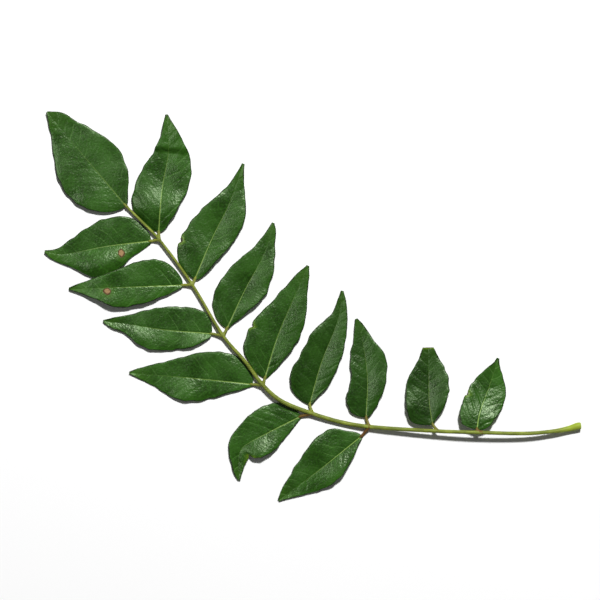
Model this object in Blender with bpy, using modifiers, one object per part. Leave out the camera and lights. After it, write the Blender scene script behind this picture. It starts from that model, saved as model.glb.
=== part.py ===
"""A curry leaf sprig: one pinnate leaf, cut from its twig and lying face up on a table.

A slender rachis with a swollen base carries eight leaflets on its right side, six on its left and one
at its end, each on a short petiolule. Every leaflet blade is a solid of its own; the rachis and its
petiolules are one solid.

Frame: X along the sprig towards its cut base, Y across it towards the leaflet tips, Z up from the
table at Z = 0, with the origin under the middle of the sprig's box.
"""

import math
import random

import bmesh
import bpy
from mathutils import Vector

MM = 0.001

# Driving dimensions, in metres.
BLADE_THICKNESS = 0.70 * MM
BLADE_END_HALF = 0.40 * MM  # half-width of a blade where it meets its petiolule, and at a blunt tip
TABLE_PRESS = 0.08 * MM  # how far a resting blade is pressed flat against the table
JOINT_GAP = 0.60 * MM  # between a petiolule's end and the blade that it carries
PETIOLULE_RADIUS = 0.40 * MM
PETIOLULE_ROOT_RADIUS = 0.50 * MM

# A blade's half-widths, the heights of its midrib and the slopes of its halves are given at these
# shares of its length.
WIDTH_STATIONS = (0.05, 0.20, 0.40, 0.60, 0.80, 0.93)
RISE_STATIONS = (0.0, 0.2, 0.4, 0.6, 0.8, 1.0)
FOLD_STATIONS = (0.1, 0.3, 0.5, 0.7, 0.9)

# Mesh fineness.
BLADE_ROWS = 30
BLADE_COLUMNS = 6
PATH_STEPS = 24  # points read from each span of a smooth path
RACHIS_POINT_EVERY = 3.2 * MM

# Margins: shallow scallops in plan and a slow wave in height.
SCALLOP_DEPTH = 0.08 * MM
SCALLOPS = 6
WAVE_HEIGHT = 0.16 * MM
WAVES = 2.5

LEAF_GREEN = (0.035, 0.105, 0.022, 1.0)
STALK_GREEN = (0.270, 0.330, 0.045, 1.0)

# The rachis in millimetres: x, y, height of its centre, and radius, from the apex to the cut base.
RACHIS = (
    (-57.3, 30.5, 1.1, 0.34),
    (-52.9, 26.1, 1.25, 0.38),
    (-47.4, 20.5, 1.3, 0.38),
    (-37.2, 6.5, 1.2, 0.42),
    (-27.6, -9.4, 1.25, 0.47),
    (-20.8, -17.3, 1.4, 0.52),
    (-15.2, -24.7, 1.5, 0.58),
    (-9.6, -29.5, 1.5, 0.62),
    (0.2, -33.5, 1.15, 0.62),
    (9.0, -36.1, 0.95, 0.62),
    (17.7, -37.5, 1.35, 0.6),
    (39.0, -38.8, 2.8, 0.54),
    (51.3, -39.2, 3.35, 0.54),
    (66.0, -39.5, 2.8, 0.55),
    (74.5, -38.9, 2.05, 0.6),
    (79.5, -38.1, 1.15, 0.85),
    (82.4, -37.4, 1.05, 1.03),
    (83.3, -37.3, 1.05, 0.95),
)

# Where pairs of leaflets leave it, as places in RACHIS.
NODES = {1: 2, 2: 3, 3: 4, 4: 6, 5: 8, 6: 10, 7: 11, 8: 12}

# Each leaflet, in millimetres:
#   node    which of NODES its petiolule leaves (None for the one at the apex)
#   midrib  x, y from the blade's base to its tip
#   left, right  half-widths at WIDTH_STATIONS, seen along the midrib from the base
#   rise    heights of the midrib at RISE_STATIONS
#   fold_left, fold_right  slopes at which the halves climb away from the midrib, at FOLD_STATIONS
#   curl    share of that climb which the left and right margins lose again
#   tuck    how far the left and right basal lobes dip, to pass under the rachis
#   bite, torn_half  damage: (side, place, reach, depth), and the half-width of a torn-off tip
#   crease  a step across the blade: (place, reach, height)
LEAFLETS = {
    "leaflet_terminal": dict(
        node=None,
        midrib=((-57.8, 31.0), (-69.6, 45.0), (-82.3, 60.1)),
        left=(5.3, 10.2, 11.7, 9.3, 4.6, 1.7),
        right=(2.5, 7.3, 9.6, 8.1, 5.1, 3.2),
        rise=(1.0, 1.1, 0.9, 0.7, 0.5, 0.8),
        fold_left=(0.08, 0.1, 0.06, 0.08, 0.1),
        fold_right=(0.05, 0.0, 0.0, 0.03, -0.03),
        curl=(0.7, 0.5),
        tuck=(0.0, 0.0),
    ),
    "leaflet_right_1": dict(
        node=1,
        midrib=((-47.6, 22.9), (-46.5, 36.4), (-44.5, 48.8), (-45.1, 59.3)),
        left=(4.7, 8.8, 8.3, 5.7, 2.9, 1.3),
        right=(2.4, 5.3, 7.9, 7.7, 3.9, 1.6),
        rise=(0.6, 2.0, 0.65, 0.3, 0.4, 0.5),
        fold_left=(0.04, 0.06, 0.08, 0.08, 0.04),
        fold_right=(0.1, 0.02, 0.08, 0.12, 0.06),
        curl=(0.6, 0.5),
        tuck=(2.0, 0.0),
        crease=(0.7, 0.02, 0.7),
    ),
    "leaflet_right_2": dict(
        node=2,
        midrib=((-36.4, 8.3), (-30.7, 21.6), (-25.7, 31.8), (-21.4, 44.1)),
        left=(5.5, 9.0, 8.2, 5.9, 2.4, 0.9),
        right=(2.2, 4.2, 6.4, 6.5, 3.1, 1.2),
        rise=(0.9, 1.2, 0.45, 0.55, 0.3, 0.35),
        fold_left=(0.04, 0.08, 0.14, 0.1, 0.06),
        fold_right=(0.14, 0.24, 0.24, 0.2, 0.1),
        curl=(0.4, 0.4),
        tuck=(0.8, 0.0),
    ),
    "leaflet_right_3": dict(
        node=3,
        midrib=((-26.4, -6.9), (-20.5, 5.6), (-15.0, 16.0), (-12.1, 25.8)),
        left=(4.9, 8.1, 7.8, 5.9, 3.0, 1.2),
        right=(1.2, 3.7, 6.4, 5.3, 2.6, 1.6),
        rise=(0.7, 1.1, 0.5, 0.6, 0.27, 0.35),
        fold_left=(0.06, 0.12, 0.14, 0.1, 0.06),
        fold_right=(0.14, 0.24, 0.26, 0.22, 0.1),
        curl=(0.3, 0.4),
        tuck=(0.3, 0.0),
    ),
    "leaflet_right_4": dict(
        node=4,
        midrib=((-14.7, -22.4), (-10.8, -9.8), (-5.9, 2.0), (-1.3, 12.5)),
        left=(4.8, 9.1, 8.8, 6.0, 3.4, 1.7),
        right=(1.7, 4.3, 6.4, 5.8, 3.2, 1.6),
        rise=(0.5, 0.8, 0.5, 0.27, 0.25, 0.25),
        fold_left=(0.08, 0.12, 0.1, 0.06, 0.04),
        fold_right=(0.12, 0.2, 0.22, 0.2, 0.1),
        curl=(0.5, 0.4),
        tuck=(0.5, 0.0),
        bite=("left", 0.37, 0.02, 0.6),
    ),
    "leaflet_right_5": dict(
        node=5,
        midrib=((-0.8, -30.6), (2.8, -17.8), (7.9, -4.5), (9.3, 4.7)),
        left=(5.4, 8.2, 6.9, 5.9, 2.3, 1.0),
        right=(1.4, 4.2, 5.4, 4.6, 2.7, 1.5),
        rise=(0.6, 0.8, 0.6, 0.4, 0.27, 0.3),
        fold_left=(0.12, 0.22, 0.22, 0.16, 0.08),
        fold_right=(0.16, 0.28, 0.3, 0.24, 0.1),
        curl=(0.3, 0.35),
        tuck=(0.3, 0.0),
    ),
    "leaflet_right_6": dict(
        node=6,
        midrib=((16.7, -34.6), (17.1, -22.3), (15.3, -9.6), (13.6, -4.0)),
        left=(5.0, 6.5, 5.0, 4.9, 2.7, 1.4),
        right=(2.0, 4.2, 6.0, 6.2, 2.9, 1.5),
        rise=(0.8, 0.9, 0.7, 0.45, 0.3, 0.35),
        fold_left=(0.1, 0.18, 0.2, 0.14, 0.06),
        fold_right=(0.18, 0.26, 0.24, 0.18, 0.08),
        curl=(0.3, 0.4),
        tuck=(0.3, 0.0),
    ),
    "leaflet_right_7": dict(
        node=7,
        midrib=((37.3, -36.7), (36.3, -29.9), (36.1, -21.5), (35.9, -12.9)),
        left=(5.8, 7.3, 7.2, 6.5, 3.7, 2.3),
        right=(1.0, 4.4, 6.1, 6.1, 4.2, 2.5),
        rise=(2.0, 1.6, 1.0, 0.6, 0.4, 0.4),
        fold_left=(0.08, 0.16, 0.16, 0.14, 0.08),
        fold_right=(0.16, 0.26, 0.24, 0.16, 0.08),
        curl=(0.3, 0.3),
        tuck=(0.3, 0.2),
        torn_half=1.7,
    ),
    "leaflet_right_8": dict(
        node=8,
        midrib=((51.0, -37.7), (51.8, -33.3), (54.9, -25.0), (57.6, -16.2)),
        left=(5.3, 5.8, 5.7, 4.6, 2.2, 0.9),
        right=(4.4, 5.2, 6.0, 5.5, 2.9, 1.0),
        rise=(2.9, 2.5, 1.2, 0.45, 0.3, 0.5),
        fold_left=(0.02, 0.06, 0.2, 0.2, 0.1),
        fold_right=(0.06, 0.04, 0.08, 0.14, 0.08),
        curl=(0.3, 0.3),
        tuck=(0.2, 0.2),
        bite=("left", 0.42, 0.03, 0.7),
    ),
    "leaflet_left_1": dict(
        node=1,
        midrib=((-50.0, 20.1), (-63.8, 18.4), (-77.3, 16.0), (-83.0, 16.8)),
        left=(1.8, 4.6, 8.5, 8.6, 3.7, 1.8),
        right=(4.7, 8.4, 8.6, 6.3, 3.3, 1.1),
        rise=(0.45, 0.5, 0.4, 0.4, 0.5, 0.8),
        fold_left=(0.12, 0.26, 0.38, 0.24, 0.12),
        fold_right=(0.04, 0.04, 0.02, 0.02, 0.0),
        curl=(1.0, 0.5),
        tuck=(0.0, 0.15),
    ),
    "leaflet_left_2": dict(
        node=2,
        midrib=((-40.2, 6.4), (-56.0, 5.8), (-75.5, 5.2)),
        left=(1.6, 3.7, 5.6, 6.1, 3.0, 1.2),
        right=(4.6, 8.2, 7.7, 5.2, 2.9, 1.4),
        rise=(0.6, 1.4, 1.7, 1.65, 1.25, 0.45),
        fold_left=(0.05, 0.08, 0.12, 0.2, 0.14),
        fold_right=(0.04, 0.04, 0.03, 0.04, 0.02),
        curl=(0.5, 0.5),
        tuck=(0.0, 0.2),
    ),
    "leaflet_left_3": dict(
        node=3,
        midrib=((-31.2, -8.7), (-45.6, -7.5), (-58.0, -5.6), (-64.9, -4.8)),
        left=(2.3, 4.9, 6.3, 6.3, 2.9, 1.7),
        right=(5.8, 7.6, 7.4, 5.6, 2.7, 1.3),
        rise=(0.5, 0.6, 0.5, 0.4, 0.3, 0.4),
        fold_left=(0.28, 0.12, 0.14, 0.3, 0.16),
        fold_right=(0.04, 0.04, 0.03, 0.03, 0.02),
        curl=(0.45, 0.5),
        tuck=(0.0, 0.35),
    ),
    "leaflet_left_4": dict(
        node=4,
        midrib=((-18.5, -24.4), (-35.8, -22.6), (-56.8, -20.8)),
        left=(1.5, 3.8, 6.7, 6.9, 3.5, 1.4),
        right=(5.8, 8.7, 8.6, 6.1, 3.4, 1.7),
        rise=(0.45, 0.55, 0.45, 0.3, 0.27, 0.35),
        fold_left=(0.08, 0.08, 0.2, 0.1, 0.06),
        fold_right=(0.03, 0.03, 0.03, 0.03, 0.02),
        curl=(0.5, 0.5),
        tuck=(0.0, 0.4),
    ),
    "leaflet_left_5": dict(
        node=5,
        midrib=((-3.6, -34.3), (-14.5, -39.8), (-21.3, -43.7), (-22.8, -46.8), (-22.7, -54.1)),
        left=(1.2, 3.3, 5.8, 5.4, 2.7, 1.1),
        right=(5.0, 7.6, 7.9, 5.9, 2.5, 1.6),
        rise=(0.5, 0.6, 0.6, 0.5, 0.45, 0.6),
        fold_left=(0.06, 0.14, 0.3, 0.24, 0.2),
        fold_right=(0.0, 0.0, 0.02, 0.02, 0.0),
        curl=(0.4, 0.5),
        tuck=(0.0, 0.5),
        bite=("left", 0.69, 0.045, 1.0),
    ),
    "leaflet_left_6": dict(
        node=6,
        midrib=((15.3, -40.4), (2.3, -50.8), (-10.5, -60.4)),
        left=(1.3, 3.7, 5.9, 5.4, 3.0, 1.2),
        right=(3.2, 8.0, 8.1, 6.4, 3.7, 1.9),
        rise=(0.7, 0.8, 0.6, 0.4, 0.27, 0.35),
        fold_left=(0.18, 0.28, 0.18, 0.14, 0.14),
        fold_right=(0.04, 0.04, 0.03, 0.03, 0.02),
        curl=(0.4, 0.5),
        tuck=(0.0, 0.2),
    ),
}


def clear_scene():
    for old in list(bpy.data.objects):
        bpy.data.objects.remove(old, do_unlink=True)


def new_collection(name):
    collection = bpy.data.collections.new(name)
    bpy.context.scene.collection.children.link(collection)
    return collection


def plant_material(name, colour, roughness):
    material = bpy.data.materials.new(name)
    material.use_nodes = True
    shader = material.node_tree.nodes["Principled BSDF"]
    shader.inputs["Base Color"].default_value = colour
    shader.inputs["Roughness"].default_value = roughness
    shader.inputs["Metallic"].default_value = 0.0
    material.diffuse_color = colour
    return material


# --- Smooth curves through a few values ---


def smooth_value(stations, values, at):
    """The value at a place, on a smooth curve through the values given at the stations."""
    span = 0
    while span < len(stations) - 2 and at > stations[span + 1]:
        span += 1

    def slope(i):
        before, after = max(i - 1, 0), min(i + 1, len(values) - 1)
        return (values[after] - values[before]) / (stations[after] - stations[before])

    width = stations[span + 1] - stations[span]
    s = min(max((at - stations[span]) / width, 0.0), 1.0)
    return (
        (2 * s**3 - 3 * s**2 + 1) * values[span]
        + (s**3 - 2 * s**2 + s) * width * slope(span)
        + (3 * s**2 - 2 * s**3) * values[span + 1]
        + (s**3 - s**2) * width * slope(span + 1)
    )


def smooth_path(points):
    """(places, points, lengths): a smooth line through the points, and how far along it each one is."""
    points = [Vector(p) for p in points]
    marks = [0.0]
    for a, b in zip(points, points[1:]):
        marks.append(marks[-1] + (b - a).length)
    steps = PATH_STEPS * (len(points) - 1)
    line = []
    for i in range(steps + 1):
        at = marks[-1] * i / steps
        line.append(Vector([smooth_value(marks, [p[k] for p in points], at) for k in range(len(points[0]))]))
    lengths = [0.0]
    for a, b in zip(line, line[1:]):
        lengths.append(lengths[-1] + (b - a).length)
    return line, lengths


def point_on(path, share):
    """The point at a share of a path's length, and the unit direction there."""
    line, lengths = path
    target = share * lengths[-1]
    i = 0
    while i < len(line) - 2 and lengths[i + 1] < target:
        i += 1
    part = (target - lengths[i]) / (lengths[i + 1] - lengths[i])
    ahead = (line[min(i + 2, len(line) - 1)] - line[max(i - 1, 0)]).normalized()
    return line[i].lerp(line[i + 1], part), ahead


def smooth_step(low, high, value):
    s = min(max((value - low) / (high - low), 0.0), 1.0)
    return s * s * (3 - 2 * s)


# --- Leaflet blades ---


class Blade:
    """One leaflet's blade as a rule: where the point at a share along and a share across it lies."""

    def __init__(self, name, spec):
        self.name = name
        self.spec = spec
        self.path = smooth_path(spec["midrib"])
        luck = random.Random(name)
        self.phase = {side: luck.random() for side in ("left", "right")}

    def half_width(self, side, along):
        """From the midrib to the margin, in millimetres. Widths run smoothly against the root of the
        share along, which rounds the base off."""
        end = BLADE_END_HALF / MM
        widths = (end, *self.spec[side], self.spec.get("torn_half", end))
        roots = [math.sqrt(t) for t in (0.0, *WIDTH_STATIONS, 1.0)]
        width = smooth_value(roots, widths, math.sqrt(along))
        scallop = math.sin(2 * math.pi * (SCALLOPS * along + self.phase[side]))
        width += SCALLOP_DEPTH / MM * scallop * min(1.0, width / 4)
        bitten, place, reach, depth = self.spec.get("bite", (None, 0, 1, 0))
        if side == bitten:
            width -= depth * math.exp(-(((along - place) / reach) ** 2))
        return max(width, end)

    def point(self, along, across):
        """across runs from -1 at the left margin to 1 at the right one."""
        spec = self.spec
        side = "left" if across < 0 else "right"
        pick = 0 if side == "left" else 1
        share = abs(across)
        width = self.half_width(side, along)
        centre, ahead = point_on(self.path, along)
        aside = Vector((ahead.y, -ahead.x)) * (across * width)
        height = smooth_value(RISE_STATIONS, spec["rise"], along)
        place, reach, step = spec.get("crease", (2.0, 1.0, 0.0))
        height += step * smooth_step(place - reach, place + reach, along)
        fold = smooth_value(FOLD_STATIONS, spec["fold_" + side], min(max(along, 0.1), 0.9))
        height += width * fold * (share - spec["curl"][pick] * share**3)
        height -= spec["tuck"][pick] * share**2 * (1 - smooth_step(0.05, 0.45, along))
        wave = math.sin(2 * math.pi * (WAVES * along + self.phase[side]))
        height += WAVE_HEIGHT / MM * wave * share**2
        lowest = (BLADE_THICKNESS / 2 - TABLE_PRESS) / MM
        height = max(height, lowest)
        return Vector((centre.x + aside.x, centre.y + aside.y, height)) * MM


def press_on_table(mesh):
    """Flattens what would sink into the table, so that it rests on a true flat."""
    for vertex in mesh.vertices:
        vertex.co.z = max(vertex.co.z, 0.0)


def as_mesh(obj, name):
    """A plain mesh object of an object's evaluated shape, which then replaces it."""
    graph = bpy.context.evaluated_depsgraph_get()
    mesh = bpy.data.meshes.new_from_object(obj.evaluated_get(graph))
    mesh.name = name
    made = bpy.data.objects.new(name, mesh)
    made.matrix_world = obj.matrix_world.copy()
    for collection in obj.users_collection:
        collection.objects.link(made)
    bpy.data.objects.remove(obj, do_unlink=True)
    return made


def make_blade(name, spec, collection, material):
    blade = Blade(name, spec)
    sheet = bmesh.new()
    bmesh.ops.create_grid(sheet, x_segments=BLADE_COLUMNS, y_segments=BLADE_ROWS, size=1.0)
    for vertex in sheet.verts:
        along = 0.5 - 0.5 * math.cos(math.pi * (vertex.co.y + 1) / 2)
        vertex.co = blade.point(along, vertex.co.x)
    bmesh.ops.triangulate(sheet, faces=sheet.faces[:])
    mesh = bpy.data.meshes.new(name + "_sheet")
    sheet.to_mesh(mesh)
    sheet.free()

    draft = bpy.data.objects.new(name + "_sheet", mesh)
    collection.objects.link(draft)
    thick = draft.modifiers.new("thickness", "SOLIDIFY")
    thick.thickness = BLADE_THICKNESS
    thick.offset = 0.0
    made = as_mesh(draft, name)
    press_on_table(made.data)
    made.data.materials.append(material)
    made.data.shade_smooth()
    made.data.set_sharp_from_angle(angle=math.radians(50))
    return made


# --- Rachis and petiolules ---


def tube(name, points, radii, sides_resolution, collection):
    """A round, tapering stalk along the points, with closed ends, as a mesh."""
    curve = bpy.data.curves.new(name, "CURVE")
    curve.dimensions = "3D"
    curve.bevel_depth = 1.0 * MM
    curve.bevel_resolution = sides_resolution
    curve.use_fill_caps = True
    spline = curve.splines.new("POLY")
    spline.points.add(len(points) - 1)
    for place, point, radius in zip(spline.points, points, radii):
        place.co = (*point, 1.0)
        place.radius = radius / MM
    obj = bpy.data.objects.new(name, curve)
    collection.objects.link(obj)
    bpy.context.view_layer.update()
    made = as_mesh(obj, name)
    welded = bmesh.new()
    welded.from_mesh(made.data)
    bmesh.ops.remove_doubles(welded, verts=welded.verts, dist=0.00001)
    bmesh.ops.recalc_face_normals(welded, faces=welded.faces)
    welded.to_mesh(made.data)
    welded.free()
    return made


def make_rachis(collection, material):
    # x, y, height and radius all follow one smooth line through RACHIS.
    path = smooth_path([Vector(p) * MM for p in RACHIS])
    count = round(path[1][-1] / RACHIS_POINT_EVERY)
    along = [point_on(path, i / count)[0] for i in range(count)]
    along += [Vector(RACHIS[-2]) * MM, Vector(RACHIS[-1]) * MM]
    rachis = tube("rachis", [p[:3] for p in along], [p[3] for p in along], 2, collection)
    press_on_table(rachis.data)

    petiolules = new_collection("petiolules")
    for name, spec in LEAFLETS.items():
        if spec["node"] is None:
            continue
        make_petiolule(name, spec, petiolules)
    union = rachis.modifiers.new("petiolules", "BOOLEAN")
    union.operation = "UNION"
    union.operand_type = "COLLECTION"
    union.collection = petiolules
    union.solver = "MANIFOLD"
    bpy.context.view_layer.update()
    joined = as_mesh(rachis, "rachis")
    for piece in list(petiolules.objects):
        bpy.data.objects.remove(piece, do_unlink=True)
    bpy.data.collections.remove(petiolules)
    joined.name = "rachis"
    joined.data.materials.clear()
    joined.data.materials.append(material)
    joined.data.shade_smooth()
    joined.data.set_sharp_from_angle(angle=math.radians(50))
    return joined


def make_petiolule(name, spec, collection):
    """A short stalk from the middle of the rachis to just short of the blade's base."""
    root = Vector(RACHIS[NODES[spec["node"]]][:3]) * MM
    base = Vector((*spec["midrib"][0], spec["rise"][0])) * MM
    _, ahead = point_on(smooth_path(spec["midrib"]), 0.0)
    end = base - Vector((ahead.x, ahead.y, 0.0)) * JOINT_GAP
    elbow = root.lerp(end, 0.55) + Vector((ahead.x, ahead.y, 0.0)) * -0.2 * MM
    line, _ = smooth_path((root, elbow, end))
    points = line[:: PATH_STEPS // 3]
    radii = [
        PETIOLULE_ROOT_RADIUS + (PETIOLULE_RADIUS - PETIOLULE_ROOT_RADIUS) * i / (len(points) - 1)
        for i in range(len(points))
    ]
    return tube(name + "_petiolule", points, radii, 1, collection)


def main():
    clear_scene()
    sprig = new_collection("curry_leaf_sprig")
    leaf_green = plant_material("leaf_green", LEAF_GREEN, 0.42)
    stalk_green = plant_material("stalk_green", STALK_GREEN, 0.50)
    make_rachis(sprig, stalk_green)
    for name, spec in LEAFLETS.items():
        make_blade(name, spec, sprig, leaf_green)


main()
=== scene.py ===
import math
import random

import bpy
import numpy as np
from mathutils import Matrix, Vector, noise


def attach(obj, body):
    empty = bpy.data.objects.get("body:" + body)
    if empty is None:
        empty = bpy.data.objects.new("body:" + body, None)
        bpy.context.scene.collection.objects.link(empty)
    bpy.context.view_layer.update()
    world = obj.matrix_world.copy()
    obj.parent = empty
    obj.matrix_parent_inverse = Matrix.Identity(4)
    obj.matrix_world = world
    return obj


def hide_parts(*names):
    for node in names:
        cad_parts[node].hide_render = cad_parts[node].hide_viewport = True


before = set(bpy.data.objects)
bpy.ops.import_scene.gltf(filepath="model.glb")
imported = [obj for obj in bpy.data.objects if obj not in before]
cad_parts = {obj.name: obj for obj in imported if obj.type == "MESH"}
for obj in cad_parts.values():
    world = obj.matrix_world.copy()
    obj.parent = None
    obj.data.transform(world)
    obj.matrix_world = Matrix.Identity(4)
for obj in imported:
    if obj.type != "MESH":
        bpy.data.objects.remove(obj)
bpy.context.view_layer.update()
print("stage: frame loaded")

mm = 0.001


# Hex colours are sRGB, shaders want linear values.
def linear(hexColour):
    parts = [int(hexColour[i : i + 2], 16) / 255 for i in (0, 2, 4)]
    return tuple(c / 12.92 if c <= 0.04045 else ((c + 0.055) / 1.055) ** 2.4 for c in parts) + (1.0,)


# Adds a node, sets it up, links or fills its inputs, and hands back one output (or the node itself).
def addNode(tree, kind, inputs=(), give=0, **settings):
    node = tree.nodes.new(kind)
    for name, value in settings.items():
        setattr(node, name, value)
    sockets = [s for s in node.inputs if s.enabled]
    for key, value in inputs.items() if isinstance(inputs, dict) else enumerate(inputs):
        socket = sockets[key] if isinstance(key, int) else next(s for s in sockets if s.name == key)
        if isinstance(value, bpy.types.NodeSocket):
            tree.links.new(value, socket)
        elif value is not None:
            socket.default_value = value
    outputs = [s for s in node.outputs if s.enabled]
    if give is None or not outputs:
        return node
    return outputs[give] if isinstance(give, int) else next(s for s in outputs if s.name == give)


# Smooth value at a place between stations.
def smoothValue(stations, values, at):
    span = 0
    while span < len(stations) - 2 and at > stations[span + 1]:
        span += 1

    def slope(i):
        before, after = max(i - 1, 0), min(i + 1, len(values) - 1)
        return (values[after] - values[before]) / (stations[after] - stations[before])

    width = stations[span + 1] - stations[span]
    s = min(max((at - stations[span]) / width, 0.0), 1.0)
    return (
        (2 * s**3 - 3 * s**2 + 1) * values[span]
        + (s**3 - 2 * s**2 + s) * width * slope(span)
        + (3 * s**2 - 2 * s**3) * values[span + 1]
        + (s**3 - s**2) * width * slope(span + 1)
    )


def smoothPath(points, steps):
    points = [Vector(p) for p in points]
    marks = [0.0]
    for a, b in zip(points, points[1:]):
        marks.append(marks[-1] + (b - a).length)
    line = []
    for i in range(steps + 1):
        at = marks[-1] * i / steps
        line.append(Vector([smoothValue(marks, [p[k] for p in points], at) for k in range(len(points[0]))]))
    lengths = [0.0]
    for a, b in zip(line, line[1:]):
        lengths.append(lengths[-1] + (b - a).length)
    return line, lengths


def pointOn(path, share):
    line, lengths = path
    target = share * lengths[-1]
    i = 0
    while i < len(line) - 2 and lengths[i + 1] < target:
        i += 1
    part = (target - lengths[i]) / (lengths[i + 1] - lengths[i])
    ahead = (line[min(i + 2, len(line) - 1)] - line[max(i - 1, 0)]).normalized()
    return line[i].lerp(line[i + 1], part), ahead


def smoothStep(low, high, value):
    s = min(max((value - low) / (high - low), 0.0), 1.0)
    return s * s * (3 - 2 * s)


# Turns an object with live modifiers into a plain mesh object of the same name.
def makePlain(obj):
    graph = bpy.context.evaluated_depsgraph_get()
    mesh = bpy.data.meshes.new_from_object(obj.evaluated_get(graph))
    obj.modifiers.clear()
    obj.data = mesh
    return obj


def meshLine(name, points, floats=(), vectors=(), chains=None):
    mesh = bpy.data.meshes.new(name)
    chains = chains or [range(len(points))]
    edges = [(a, b) for chain in chains for a, b in zip(chain, list(chain)[1:])]
    mesh.from_pydata([tuple(p) for p in points], edges, [])
    for key, values in dict(floats).items():
        mesh.attributes.new(key, "FLOAT", "POINT").data.foreach_set("value", values)
    for key, values in dict(vectors).items():
        flat = [c for v in values for c in v]
        mesh.attributes.new(key, "FLOAT_VECTOR", "POINT").data.foreach_set("vector", flat)
    obj = bpy.data.objects.new(name, mesh)
    bpy.context.scene.collection.objects.link(obj)
    return obj


def setInputs(modifier, values):
    sockets = {
        item.name: item.identifier
        for item in modifier.node_group.interface.items_tree
        if item.item_type == "SOCKET" and item.in_out == "INPUT"
    }
    for name, value in values.items():
        modifier[sockets[name]] = value


# ---- the leaflets ----

blade = {
    "rows": 150,  # mesh rows along a leaflet
    "columns": 61,  # and points across it
    "thickness": 0.40,  # mm
    "endHalf": 0.40,  # mm, half-width where the blade meets its petiolule
    "scallopDepth": 0.08,  # mm
    "scallops": 6,
    "toothDepth": 0.28,  # mm, small irregular teeth along the margin
    "teeth": 16,
    "waveHeight": 0.16,  # mm
    "waves": 2.5,
    "veinSpacing": 3.3,  # mm between side veins at the midrib
    "veinLean": 0.62,  # how far a side vein runs forward for each mm it runs out
    "veinBow": 0.30,  # and how much more so near the margin
    "veinDepth": 0.07,  # mm
    "grooveDepth": 0.07,  # mm, the midrib's groove on the upper side
    "grooveHalf": 0.45,  # mm
    "ribDepth": 0.42,  # mm, the midrib's ridge under the base of the blade
    "ribHalf": 0.40,  # mm
    "rippleHeight": 0.20,  # mm
    "rippleSize": 7.0,  # mm
}

widthStations = (0.05, 0.20, 0.40, 0.60, 0.80, 0.93)
riseStations = (0.0, 0.2, 0.4, 0.6, 0.8, 1.0)
foldStations = (0.1, 0.3, 0.5, 0.7, 0.9)

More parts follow.
